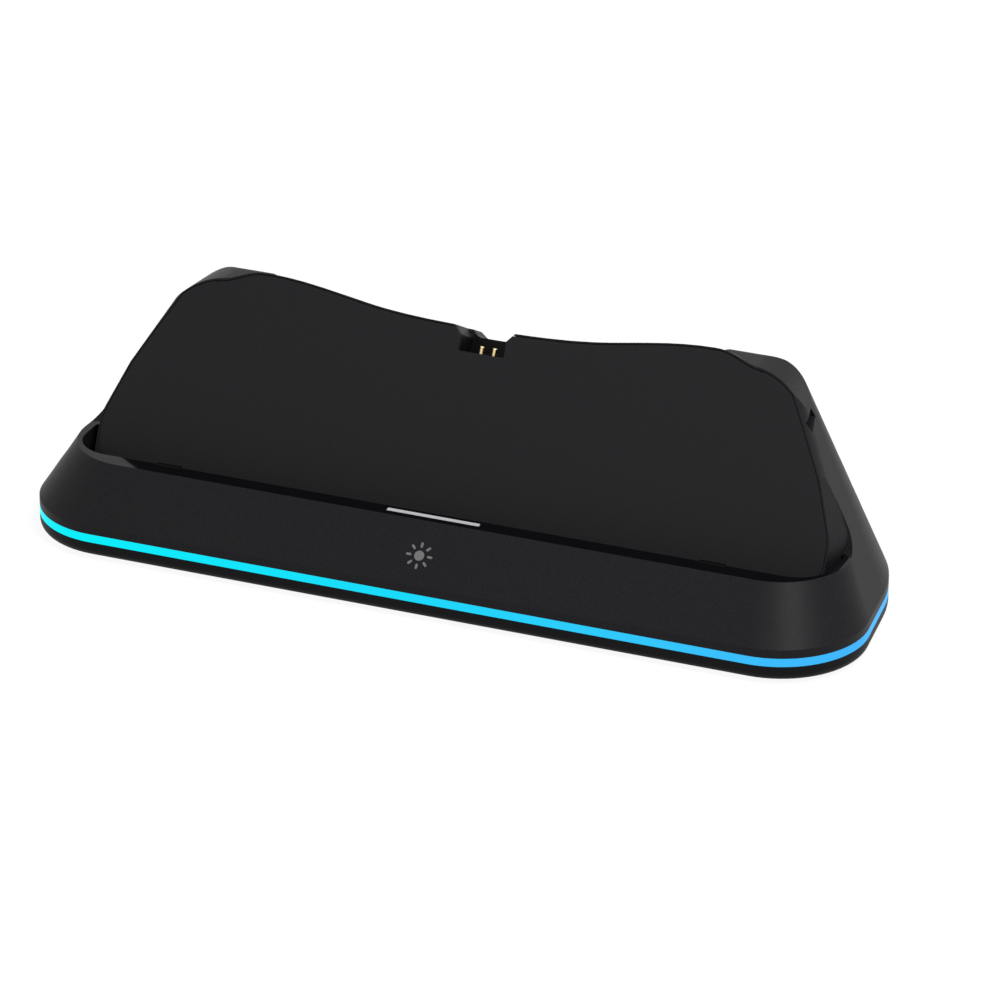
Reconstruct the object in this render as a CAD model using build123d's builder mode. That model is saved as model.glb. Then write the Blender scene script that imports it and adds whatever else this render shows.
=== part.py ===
"""Charging dock for a handheld console: a sloped base, a trough, a leaning panel and two spring contacts."""
from math import atan2, cos, radians, sin, tan
import os

from build123d import *

os.makedirs("parts", exist_ok=True)

# Overall sizes, in millimetres. X runs to the right, Y to the back, Z up, with Z = 0 on the table.
LENGTH = 221.0
DEPTH = 81.0
EAR_Z = 61.0
FOOT_STAND = 1.0
COVER_HEIGHT = 4.1
RING_HEIGHT = 2.2
BAND_HEIGHT = 2.2

# Plan shape of the base and of its narrow top, and how its faces lean, in millimetres and degrees.
FRONT_CORNER = 22.5
BACK_CORNER = 44.0
SIDE_TAPER = 6.7
FRONT_SLOPE = 42.6
FLANK_SLOPE = 30.0
TOP_DEPTH = 9.2
TOP_FRONT_CORNER = 3.0
TOP_BACK_CORNER = 5.0
EAR_ROUND = 2.8
EAR_END_ROUND = 18.0
EAR_END_BREAK = 0.1

# Walls of the shells and clearances between pieces.
SHELL_INSET = 3.0
SHELL_TOP = 3.0
WALL = 2.0
COVER_FLOOR = 2.0
COVER_ROUND = 2.4
RING_WIDTH = 2.8
FIT = 0.15
LOOSE = 0.3

# The leaning upright and its panel. PLATE_SET runs from the front edge to the foot of the panel's plane.
PLATE_LEAN = 28.5
PLATE_SET = 14.6
PANEL_THICK = 1.6
PANEL_RIM = 0.6
PANEL_BOTTOM = 19.6
PANEL_CORNER = 4.5
FRONT_WALL = 1.8
UPRIGHT_SET = 12.2
UPRIGHT_STRAIGHT = 28.0
UPRIGHT_BEND = 14.0
UPRIGHT_TURN = 20.5
UPRIGHT_DRAFT = 19.0

# The crest of the upright, measured up the panel's plane: a shallow saddle between two peaks.
SADDLE_MIDDLE = 67.6
PEAK_SET = 50.0
PEAK_RISE = 4.85
HALFWAY_SHARE = 0.29
CREST_DEPTH = 8.0
CREST_FOOT_SET = 37.0

# The trough in front of the panel, the slots beside the upright and the reliefs above them.
LAND_Z = 22.0
TROUGH_END_SET = 9.3
TROUGH_SET = 16.1
TROUGH_FLOOR_Z = 12.0
TROUGH_CORNER = 10.0
SLOT_FLOOR_Z = 12.5
SLOT_CORNER = 2.4
RELIEF_SET = 38.9
RELIEF_END_SET = 0.5
RELIEF_CORNER = 15.0
RELIEF_FOOT = 5.0

# Short grooves in the flanks, behind the panel's edge and rising to the back.
GROOVE_UP = 57.1
GROOVE_RISE = 15.0
GROOVE_TOE = 9.0
GROOVE_HEIGHT = 2.4
GROOVE_LENGTH = 6.0
GROOVE_DEPTH = 3.0

# The white status light in the land before the trough, and two low tabs on the land's edge.
TAB_SET = 37.5
TAB_LENGTH = 6.8
TAB_WIDTH = 0.9
TAB_RISE = 0.45
LIGHT_LENGTH = 24.6
LIGHT_WIDTH = 1.1
LIGHT_SET = 2.0
LIGHT_RISE = 0.1
LIGHT_THICK = 1.5
LEG_LENGTH = 4.0

# The touch key: a sun printed on the front slope and a copper pad inside.
ICON_Z = 15.3
ICON_DOT = 1.3
ICON_RAYS = 8
RAY_INNER = 2.1
RAY_OUTER = 3.5
RAY_WIDTH = 0.62
INK_THICK = 0.1
PAD_LENGTH = 16.0
PAD_HEIGHT = 4.6
PAD_THICK = 0.3
PAD_DROP = 1.9

# The notch at the top of the panel and its spring contacts.
NOTCH_HALF = 6.3
NOTCH_SILL = 61.3
NOTCH_FLOOR = 60.8
NOTCH_BACK = 10.0
NOTCH_CHAMFER_X = 1.85
NOTCH_CHAMFER_Y = 2.1
REAR_NOTCH_HALF = 5.0
REAR_NOTCH_FLOOR = 65.9
REAR_NOTCH_ROUND = 2.5
PIN_SPACING = 3.5
PIN_BACK = 5.2
PIN_R = 0.6
PIN_TIP = 63.55
PIN_COLLAR_R = 0.72
PIN_COLLAR = 1.0
PIN_RUN = 0.05
BARREL_R = 1.05
BARREL_LIP = 0.5
BARREL_FLOOR = 0.5
BARREL_PROUD = 0.2
BARREL_GAP = 0.02
PIN_ROUND = 0.35
SPRING_WIRE_R = 0.08
SPRING_TURNS = 7
BLOCK_LENGTH = 9.0
BLOCK_WIDTH = 4.0
BLOCK_HEIGHT = 6.2
BLOCK_FLANGE = 1.2
FLANGE_HEIGHT = 1.4
CONTACT_BOARD_LENGTH = 14.0
CONTACT_BOARD_WIDTH = 7.0
CONTACT_BOARD_THICK = 1.0

# Boards, socket and leads inside the base.
BOARD_Z = 10.0
BOARD_THICK = 1.6
BOARD_LENGTH = 62.0
BOARD_WIDTH = 29.0
BOARD_SET = 5.5
POST_R = 2.6
POST_EDGE = 4.5
BOARD_SCREW_R = 0.9
BOARD_SCREW_HEAD_R = 1.9
BOARD_SCREW_HEAD = 1.2
BOARD_SCREW_LENGTH = 6.0
USB_LENGTH = 8.94
USB_HEIGHT = 3.26
USB_DEPTH = 7.3
USB_WALL = 0.35
TONGUE_LENGTH = 6.7
TONGUE_THICK = 0.7
USB_SET = 3.6
PORT_LENGTH = 13.0
PORT_HEIGHT = 7.4
PORT_WALL = 1.6
PORT_ROUND = 1.5
TONGUE_REACH = 5.0
LED_BOARD_END_SET = 22.5
LED_BOARD_SET = 3.7
LED_BOARD_WIDTH = 8.6
LED_BOARD_THICK = 1.2
LED_BOARD_RISE = 1.2
LED_RIB_WIDTH = 4.0
LED_RIB_END = 8.0
LED_RIBS = 5
LED_COUNT = 10
LED_END = 11.5
LED_EDGE = 0.2
LED_LENGTH = 2.8
LED_WIDTH = 1.4
LED_HEIGHT = 1.3
STATUS_LED = 1.6
STATUS_LED_HEIGHT = 0.7
LEAD_R = 0.6
LEAD_SPACING = 5.0
LEAD_BACK = 9.0
LEAD_STRAIGHT = 8.0
LEAD_LAND = 6.0
LEAD_RISE = 9.0
LEAD_BEND = 8.0
LED_LEAD_X = 20.0
LED_LEAD_RISE = 2.5
LED_LEAD_BEND = 1.4

# Case screws and feet, placed from the ends, the front and the back of the base.
FRONT_SCREW_END = 54.5
FRONT_SCREW_SET = 15.9
BACK_SCREW_END = 58.5
BACK_SCREW_SET = 15.5
SCREW_R = 1.2
SCREW_HEAD_R = 2.4
SCREW_HEAD = 1.6
SCREW_LENGTH = 7.6
SCREW_SINK = 0.4
BOSS_R = 3.4
BOSS_Z = 7.0
BOSS_JOIN = 1.2
FOOT_R = 6.0
FOOT_SEAT = 0.8
FRONT_FOOT_END = 26.5
BACK_FOOT_END = 40.5
FOOT_SET = 16.5

# Chips and coil on the main board: place across and behind its front edge, length, width and height.
BOARD_CHIPS = [
    (-14.0, 14.0, 7.0, 7.0, 1.0),
    (13.0, 13.0, 7.0, 7.0, 3.0),
    (-14.0, 23.0, 5.0, 4.0, 1.2),
    (13.0, 22.0, 3.2, 2.5, 1.4),
    (2.0, 16.0, 3.0, 1.6, 0.9),
]

# Levels and places that follow from the sizes above.
COVER_TOP = FOOT_STAND + COVER_HEIGHT
RING_TOP = COVER_TOP + RING_HEIGHT
SLOPE_Z = RING_TOP + BAND_HEIGHT
FLOOR_Z = FOOT_STAND + COVER_FLOOR
SLOPE_RISE = EAR_Z - SLOPE_Z
FRONT_Y = -DEPTH / 2
BACK_Y = DEPTH / 2
TOP_FRONT_SET = SLOPE_RISE * tan(radians(FRONT_SLOPE))
TOP_END_SET = SLOPE_RISE * tan(radians(FLANK_SLOPE))
TOP_BACK_SET = DEPTH - TOP_FRONT_SET - TOP_DEPTH
PLATE_FOOT = FRONT_Y + PLATE_SET
TROUGH_FRONT = FRONT_Y + TROUGH_SET
RELIEF_BACK = FRONT_Y + RELIEF_SET
UPRIGHT_HALF = LENGTH / 2 - UPRIGHT_SET
TROUGH_HALF = LENGTH / 2 - TROUGH_END_SET
PEAK_HALF = LENGTH / 2 - PEAK_SET
CREST_FOOT_HALF = LENGTH / 2 - CREST_FOOT_SET
TAB_HALF = LENGTH / 2 - TAB_SET
LIGHT_Y = TROUGH_FRONT - LIGHT_SET
BOARD_BACK = BACK_Y - BOARD_SET
BOARD_FRONT = BOARD_BACK - BOARD_WIDTH
USB_MOUTH_Y = BACK_Y - USB_SET
LEAD_LAND_Y = BOARD_FRONT + LEAD_LAND
LED_BOARD_LENGTH = LENGTH - 2 * LED_BOARD_END_SET
LED_BOARD_FRONT = FRONT_Y + LED_BOARD_SET
LED_RIB_PITCH = (LED_BOARD_LENGTH - 2 * LED_RIB_END) / (LED_RIBS - 1)
LED_PITCH = (LED_BOARD_LENGTH - 2 * LED_END) / (LED_COUNT - 1)
CAVITY_TOP = EAR_Z - SHELL_TOP
UP_Y = sin(radians(PLATE_LEAN))
UP_Z = cos(radians(PLATE_LEAN))
UP = (0, UP_Y, UP_Z)
UPRIGHT_FRONT = PANEL_THICK + FRONT_WALL
BLOCK_BACK = UPRIGHT_FRONT + FIT + BLOCK_WIDTH / 2
BLOCK_FOOT = NOTCH_FLOOR - BLOCK_HEIGHT
BARREL_TOP = NOTCH_FLOOR + BARREL_PROUD
PEAK = SADDLE_MIDDLE + PEAK_RISE
FAR = LENGTH + DEPTH
UPRIGHT_DEPTH = (RELIEF_BACK - PLATE_FOOT) * UP_Z
BOARD_TOP = BOARD_Z + BOARD_THICK
LED_BOARD_Z = FLOOR_Z + LED_BOARD_RISE
LED_BOARD_TOP = LED_BOARD_Z + LED_BOARD_THICK
USB_Z = BOARD_TOP + USB_HEIGHT / 2
SCREW_SEAT = FOOT_STAND + SCREW_SINK + SCREW_HEAD
BACK_BOSS_RUN = BACK_SCREW_SET - SHELL_INSET - BOSS_R + BOSS_JOIN
BACK_BOSS_TOP = SLOPE_Z + SLOPE_RISE * BACK_BOSS_RUN / TOP_BACK_SET
BACKWARD = (0, UP_Z, -UP_Y)
DOWNWARD = (0, -UP_Y, -UP_Z)
FRONT_FOOT_X = LENGTH / 2 - FRONT_FOOT_END
BACK_FOOT_X = LENGTH / 2 - BACK_FOOT_END
FEET = {
    "foot_front_left": (-FRONT_FOOT_X, FRONT_Y + FOOT_SET),
    "foot_front_right": (FRONT_FOOT_X, FRONT_Y + FOOT_SET),
    "foot_back_left": (-BACK_FOOT_X, BACK_Y - FOOT_SET),
    "foot_back_right": (BACK_FOOT_X, BACK_Y - FOOT_SET),
}
FRONT_SCREW_X = LENGTH / 2 - FRONT_SCREW_END
BACK_SCREW_X = LENGTH / 2 - BACK_SCREW_END
CASE_SCREWS = [(side * FRONT_SCREW_X, FRONT_Y + FRONT_SCREW_SET) for side in (-1, 1)]
CASE_SCREWS += [(side * BACK_SCREW_X, BACK_Y - BACK_SCREW_SET) for side in (-1, 1)]
BOARD_POSTS = [
    (side * (BOARD_LENGTH / 2 - POST_EDGE), y)
    for side in (-1, 1)
    for y in (BOARD_FRONT + POST_EDGE, BOARD_BACK - POST_EDGE)
]


def plate_y(z):
    """Y of the panel's front plane at a height."""
    return PLATE_FOOT + z * tan(radians(PLATE_LEAN))


def plate_point(x, up, back=0.0):
    """A point given across and up the panel's plane, and behind it."""
    return (x, PLATE_FOOT + up * UP_Y + back * UP_Z, up * UP_Z - back * UP_Y)


def plate_plane(back=0.0):
    """The panel's front plane, or one that lies behind it: x across, y up the panel, z out to the front."""
    return Plane(origin=plate_point(0, 0, back), x_dir=(1, 0, 0), z_dir=(0, -UP_Z, UP_Y))


def pin_plane(x, up, back=PIN_BACK):
    """A plane across a contact pin, with z along the pin."""
    return Plane(origin=plate_point(x, up, back), x_dir=(1, 0, 0), z_dir=UP)


def slope_plane():
    """The front slope at the touch key, with z out of the slope."""
    slope = radians(FRONT_SLOPE)
    origin = (0, FRONT_Y + (ICON_Z - SLOPE_Z) * tan(slope), ICON_Z)
    return Plane(origin=origin, x_dir=(1, 0, 0), z_dir=(0, -cos(slope), sin(slope)))


def body_sizes(z, inset=0.0):
    """Half width, front, back, front corner and back corner of the body's plan outline at a height."""
    share = max(0.0, z - SLOPE_Z) / SLOPE_RISE
    return (
        LENGTH / 2 - share * TOP_END_SET - inset,
        FRONT_Y + share * TOP_FRONT_SET + inset,
        BACK_Y - share * TOP_BACK_SET - inset,
        FRONT_CORNER + share * (TOP_FRONT_CORNER - FRONT_CORNER) - inset,
        BACK_CORNER + share * (TOP_BACK_CORNER - BACK_CORNER) - inset,
    )


def flank_x(y, z, inset=0.0):
    """X of the right flank's plane at a place along it and a height."""
    half_width, front, _, front_corner, _ = body_sizes(z, inset)
    lean = radians(SIDE_TAPER)
    return half_width - front_corner + (front_corner - (y - front - front_corner) * sin(lean)) / cos(lean)


def body_section(z, inset=0.0):
    """Plan outline of the body at a height: a trapezium that narrows to the back, with round corners."""
    _, front, back, front_corner, back_corner = body_sizes(z, inset)
    front_x = flank_x(front, z, inset)
    back_x = flank_x(back, z, inset)
    with BuildSketch(Plane.XY.offset(z)) as section:
        with BuildLine():
            Polyline((front_x, front), (back_x, back), (-back_x, back), (-front_x, front), close=True)
        make_face()
        fillet(section.vertices().group_by(Axis.Y)[0], front_corner)
        fillet(section.vertices().group_by(Axis.Y)[-1], back_corner)
    return section.sketch


def upright_outline(plane, inset=0.0):
    """Front outline of the upright below the crest: straight sides that bend in towards the top."""
    half = UPRIGHT_HALF - inset
    turn = radians(UPRIGHT_TURN)
    bend = UPRIGHT_BEND - inset
    bend_x = half - bend * (1 - cos(turn))
    bend_y = UPRIGHT_STRAIGHT + bend * sin(turn)
    middle_x = half - bend * (1 - cos(turn / 2))
    middle_y = UPRIGHT_STRAIGHT + bend * sin(turn / 2)
    top_y = SADDLE_MIDDLE + UPRIGHT_STRAIGHT
    top_x = bend_x - (top_y - bend_y) * tan(turn)
    with BuildSketch(plane) as outline:
        with BuildLine():
            Line((-half, -DEPTH), (half, -DEPTH))
            Line((half, -DEPTH), (half, UPRIGHT_STRAIGHT))
            ThreePointArc((half, UPRIGHT_STRAIGHT), (middle_x, middle_y), (bend_x, bend_y))
            Line((bend_x, bend_y), (top_x, top_y))
            Line((top_x, top_y), (-top_x, top_y))
            Line((-top_x, top_y), (-bend_x, bend_y))
            ThreePointArc((-bend_x, bend_y), (-middle_x, middle_y), (-half, UPRIGHT_STRAIGHT))
            Line((-half, UPRIGHT_STRAIGHT), (-half, -DEPTH))
        make_face()
    return outline.sketch


def upright_solid(front=0.0, inset=0.0):
    """The upright as a solid whose sides spread to the back, from a plane behind the panel's front."""
    spread = tan(radians(UPRIGHT_DRAFT))
    with BuildPart() as solid:
        loft(
            [
                upright_outline(plate_plane(front), inset - front * spread),
                upright_outline(plate_plane(UPRIGHT_DEPTH), inset - UPRIGHT_DEPTH * spread),
            ],
            ruled=True,
        )
    return solid.part


def above_saddle(plane, drop=0.0):
    """Everything above the saddle line of the crest."""
    ear_half = PEAK_HALF + CREST_DEPTH
    ear_up = PEAK + CREST_DEPTH / 2 - drop
    with BuildSketch(plane) as region:
        with BuildLine():
            Spline(
                (-PEAK_HALF, PEAK - drop),
                (-PEAK_HALF / 2, SADDLE_MIDDLE + PEAK_RISE * HALFWAY_SHARE - drop),
                (0, SADDLE_MIDDLE - drop),
                (PEAK_HALF / 2, SADDLE_MIDDLE + PEAK_RISE * HALFWAY_SHARE - drop),
                (PEAK_HALF, PEAK - drop),
                tangents=[(1, 0), (1, 0)],
            )
            Polyline(
                (PEAK_HALF, PEAK - drop),
                (ear_half, ear_up),
                (ear_half, FAR),
                (-ear_half, FAR),
                (-ear_half, ear_up),
                (-PEAK_HALF, PEAK - drop),
            )
        make_face()
    return region.sketch


def notch_outline(plane, floor):
    """The notch at the top of the panel, with sloped upper corners."""
    shoulder = SADDLE_MIDDLE - NOTCH_CHAMFER_Y
    spread = NOTCH_CHAMFER_X / NOTCH_CHAMFER_Y
    top = SADDLE_MIDDLE + NOTCH_CHAMFER_Y
    top_half = NOTCH_HALF + (top - shoulder) * spread
    with BuildSketch(plane) as outline:
        with BuildLine():
            Polyline(
                (-NOTCH_HALF, floor),
                (NOTCH_HALF, floor),
                (NOTCH_HALF, shoulder),
                (top_half, top),
                (-top_half, top),
                (-NOTCH_HALF, shoulder),
                close=True,
            )
        make_face()
    return outline.sketch


def light_leg(gap=0.0):
    """The leg that leads light up to the status light, along the wall of the trough."""
    top_z = LAND_Z - LIGHT_THICK
    top_y = LIGHT_Y - LIGHT_THICK * tan(radians(PLATE_LEAN))
    foot_z = LED_BOARD_TOP + STATUS_LED_HEIGHT + LOOSE
    with BuildPart() as leg:
        with BuildSketch(Plane.XY.offset(top_z)):
            with Locations((0, top_y)):
                Rectangle(LEG_LENGTH + 2 * gap, LIGHT_WIDTH + 2 * gap)
        extrude(amount=(top_z - foot_z + gap) / UP_Z, dir=(0, -UP_Y, -UP_Z))
    return leg.part


def ear_corner(side, inset=0.0):
    """What is cut from the end of an ear to round it, drawn square to the flank."""
    lean = radians(SIDE_TAPER)
    top_z = EAR_Z - inset
    end_y = FRONT_Y + TOP_FRONT_SET + TOP_DEPTH / 2
    end_x = flank_x(end_y, top_z, inset)
    flank = atan2((flank_x(end_y, SLOPE_Z, inset) - end_x) * cos(lean), top_z - SLOPE_Z)
    turn = (radians(90) + flank) / 2
    radius = EAR_END_ROUND - inset
    depth = radius - EAR_END_BREAK
    centre = (-depth * (1 - sin(flank)) / cos(flank), -depth)
    arc = [(centre[0] + radius * cos(a), centre[1] + radius * sin(a)) for a in (radians(90), turn, flank)]
    plane = Plane(
        origin=(side * end_x, end_y, top_z),
        x_dir=(side * cos(lean), sin(lean), 0),
        z_dir=(sin(lean), -side * cos(lean), 0),
    )
    with BuildSketch(plane) as corner:
        with BuildLine():
            ThreePointArc(*arc)
            Polyline(arc[-1], (2 * radius, arc[-1][1]), (2 * radius, radius), (centre[0], radius), arc[0])
        make_face()
    return corner.sketch


def hill_solid(inset=0.0):
    """Solid hill that the housing is cut from, moved in from its outer faces."""
    with BuildPart() as solid:
        loft([body_section(SLOPE_Z, inset), body_section(EAR_Z - inset, inset)], ruled=True)
        ear_edges = solid.faces().sort_by(Axis.Z)[-1].edges().sort_by(Axis.Y)[1:]
        fillet(ear_edges, EAR_ROUND - inset)
        extrude(body_section(RING_TOP, inset), amount=BAND_HEIGHT)
        for side in (-1, 1):
            extrude(ear_corner(side, inset), amount=DEPTH, both=True, mode=Mode.SUBTRACT)
    return solid.part


def crest_outline(inset=0.0):
    """Front of the crest, left tall so that the saddle can be cut from it."""
    foot_up = EAR_Z / UP_Z - LOOSE - inset
    foot_half = CREST_FOOT_HALF - inset
    peak_up = PEAK - inset
    with BuildSketch(plate_plane()) as outline:
        with BuildLine():
            Spline((foot_half, foot_up), (PEAK_HALF, peak_up), tangents=[(-1, 0.1), (-1, 0)])
            Line((PEAK_HALF, peak_up), (PEAK_HALF, peak_up + PEAK_RISE))
            Line((PEAK_HALF, peak_up + PEAK_RISE), (0, peak_up + PEAK_RISE))
            Line((0, peak_up + PEAK_RISE), (0, NOTCH_FLOOR))
            Line((0, NOTCH_FLOOR), (foot_half, NOTCH_FLOOR))
            Line((foot_half, NOTCH_FLOOR), (foot_half, foot_up))
        make_face()
        mirror(about=Plane.YZ)
    return outline.sketch


def panel_blank(gap=0.0):
    """The panel without its notch, grown at its edges by a gap."""
    inset = PANEL_RIM - gap
    inner_hill = hill_solid(inset)
    with BuildPart() as core:
        add(inner_hill)
        extrude(crest_outline(inset), amount=-CREST_DEPTH)
        extrude(above_saddle(plate_plane(-FAR), inset), amount=-2 * FAR, mode=Mode.SUBTRACT)
        extrude(upright_outline(plate_plane(), inset), amount=-FAR, mode=Mode.INTERSECT)
    front_face = core.faces().filter_by(plate_plane()).sort_by(SortBy.AREA)[-1]
    with BuildPart() as blank:
        extrude(front_face, amount=PANEL_THICK, dir=BACKWARD)
        with BuildSketch(plate_plane(-PANEL_THICK)):
            with Locations((0, PANEL_BOTTOM - gap)):
                Rectangle(2 * LENGTH, DEPTH, align=(Align.CENTER, Align.MAX))
        extrude(amount=-3 * PANEL_THICK, mode=Mode.SUBTRACT)
        across = blank.edges().filter_by(Axis((0, 0, 0), BACKWARD))
        fillet(across.group_by(Axis((0, 0, 0), UP))[0], PANEL_CORNER + gap)
    return blank.part


hill = hill_solid()
upright = upright_solid()
upright_room = upright_solid(UPRIGHT_FRONT, WALL)

# Space in front of the upright and beside it, down to the land and the side slots
with BuildPart() as relief:
    with BuildSketch(Plane.XY.offset(LAND_Z)) as above_land:
        with Locations((0, RELIEF_BACK)):
            Rectangle(LENGTH - 2 * RELIEF_END_SET, DEPTH, align=(Align.CENTER, Align.MAX))
        fillet(above_land.vertices().group_by(Axis.Y)[-1], RELIEF_CORNER)
    extrude(amount=EAR_Z)
    fillet(relief.edges().group_by(Axis.Z)[0].sort_by(Axis.Y)[1:], RELIEF_FOOT)
    with BuildSketch(Plane.XY.offset(SLOT_FLOOR_Z)) as slot:
        slot_back = RELIEF_BACK - RELIEF_FOOT
        with Locations((0, slot_back)):
            Rectangle(2 * TROUGH_HALF, slot_back - TROUGH_FRONT, align=(Align.CENTER, Align.MAX))
        fillet(slot.vertices().group_by(Axis.Y)[0], TROUGH_CORNER)
        fillet(slot.vertices().group_by(Axis.Y)[-1], SLOT_CORNER)
    extrude(amount=LAND_Z - SLOT_FLOOR_Z)
    with BuildSketch(Plane.YZ):
        with BuildLine():
            Polyline((plate_y(LAND_Z), LAND_Z), (plate_y(FAR), FAR), (-FAR, FAR), (-FAR, LAND_Z), close=True)
        make_face()
    extrude(amount=LENGTH, both=True)
    add(upright, mode=Mode.SUBTRACT)

# The trough itself, sunk along the lean of the panel
with BuildPart() as trough:
    with BuildSketch(Plane.XY.offset(LAND_Z)) as mouth:
        with Locations((0, plate_y(LAND_Z))):
            Rectangle(2 * TROUGH_HALF, plate_y(LAND_Z) - TROUGH_FRONT, align=(Align.CENTER, Align.MAX))
        fillet(mouth.vertices().group_by(Axis.Y)[0], TROUGH_CORNER)
    extrude(amount=(LAND_Z - TROUGH_FLOOR_Z) / UP_Z, dir=(0, -UP_Y, -UP_Z))

# The hill again, less the thickness of its walls
with BuildPart() as inside:
    loft([body_section(SLOPE_Z, SHELL_INSET), body_section(CAVITY_TOP, SHELL_INSET)], ruled=True)
    extrude(body_section(RING_TOP, SHELL_INSET), amount=BAND_HEIGHT)

# Room inside the housing
with BuildPart() as cavity:
    low_top = TROUGH_FLOOR_Z - WALL
    wall_back = UPRIGHT_FRONT / UP_Z
    wall_front = (plate_y(LAND_Z) - TROUGH_FRONT) + WALL / UP_Z
    relief_wall = RELIEF_BACK + WALL
    relief_top = (relief_wall - wall_back - PLATE_FOOT) / tan(radians(PLATE_LEAN))
    with BuildSketch(Plane.YZ):
        with BuildLine():
            Polyline(
                (relief_wall, low_top),
                (DEPTH, low_top),
                (DEPTH, EAR_Z),
                (plate_y(EAR_Z) + wall_back, EAR_Z),
                (relief_wall, relief_top),
                close=True,
            )
        make_face()
    extrude(amount=LENGTH, both=True)
    with BuildSketch(Plane.YZ):
        with BuildLine():
            Polyline(
                (-DEPTH, 0),
                (plate_y(0) - wall_front, 0),
                (plate_y(LAND_Z) - wall_front, LAND_Z),
                (-DEPTH, LAND_Z),
                close=True,
            )
        make_face()
    extrude(amount=LENGTH, both=True)
    with BuildSketch(Plane.XY):
        Rectangle(2 * LENGTH, 2 * DEPTH)
    extrude(amount=low_top)
    add(upright_room)
    with BuildSketch(plate_plane(-FAR)):
        with Locations((0, NOTCH_FLOOR - WALL)):
            Rectangle(2 * (NOTCH_HALF + NOTCH_CHAMFER_X + WALL), FAR, align=(Align.CENTER, Align.MIN))
    extrude(amount=-2 * FAR, mode=Mode.SUBTRACT)
    extrude(above_saddle(plate_plane(-FAR), WALL), amount=-2 * FAR, mode=Mode.SUBTRACT)
    add(inside.part, mode=Mode.INTERSECT)

# Wall round the socket's port, inside the back slope
with BuildPart() as port_wall:
    with BuildSketch(Plane.XZ.offset(PORT_WALL - USB_MOUTH_Y)):
        with Locations((0, USB_Z)):
            RectangleRounded(PORT_LENGTH + 2 * WALL, PORT_HEIGHT + 2 * WALL, PORT_ROUND + WALL)
    extrude(amount=-DEPTH)
    add(hill, mode=Mode.INTERSECT)

# Grooves in the flanks
with BuildPart() as grooves:
    groove_start = plate_point(0, GROOVE_UP, PANEL_THICK + FIT)
    groove_x = flank_x(groove_start[1], groove_start[2]) - GROOVE_DEPTH
    toe = radians(GROOVE_TOE)
    rise = radians(GROOVE_RISE)
    groove_plane = Plane(
        origin=(groove_x, groove_start[1], groove_start[2]),
        x_dir=(sin(toe) * cos(rise), cos(toe) * cos(rise), sin(rise)),
        z_dir=(cos(toe), -sin(toe), 0),
    )
    with BuildSketch(groove_plane):
        Rectangle(GROOVE_LENGTH, GROOVE_HEIGHT, align=(Align.MIN, Align.CENTER))
    extrude(amount=LENGTH)
    mirror(about=Plane.YZ)

# Upper housing
with BuildPart() as upper_housing:
    add(hill)
    add(relief.part, mode=Mode.SUBTRACT)
    add(trough.part, mode=Mode.SUBTRACT)
    extrude(crest_outline(), amount=-CREST_DEPTH)
    extrude(above_saddle(plate_plane(-FAR)), amount=-2 * FAR, mode=Mode.SUBTRACT)
    add(cavity.part, mode=Mode.SUBTRACT)
    add(port_wall.part)
    with BuildSketch(Plane.XY.offset(BOSS_Z)):
        with Locations(*CASE_SCREWS[:2]):
            Circle(BOSS_R)
    extrude(amount=TROUGH_FLOOR_Z - WALL / 2 - BOSS_Z)
    with BuildSketch(Plane.XY.offset(BOSS_Z)):
        with Locations(*CASE_SCREWS[2:]):
            Circle(BOSS_R)
    extrude(amount=BACK_BOSS_TOP - BOSS_Z)
    with BuildSketch(Plane.XY.offset(LAND_Z)):
        for side in (-1, 1):
            with Locations((side * TAB_HALF, TROUGH_FRONT)):
                Rectangle(TAB_LENGTH, TAB_WIDTH, align=(Align.CENTER, Align.MAX))
    extrude(amount=TAB_RISE)

leg_hole = light_leg(FIT)
leg_solid = light_leg()
panel_recess = panel_blank(FIT)
panel_solid = panel_blank()

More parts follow.
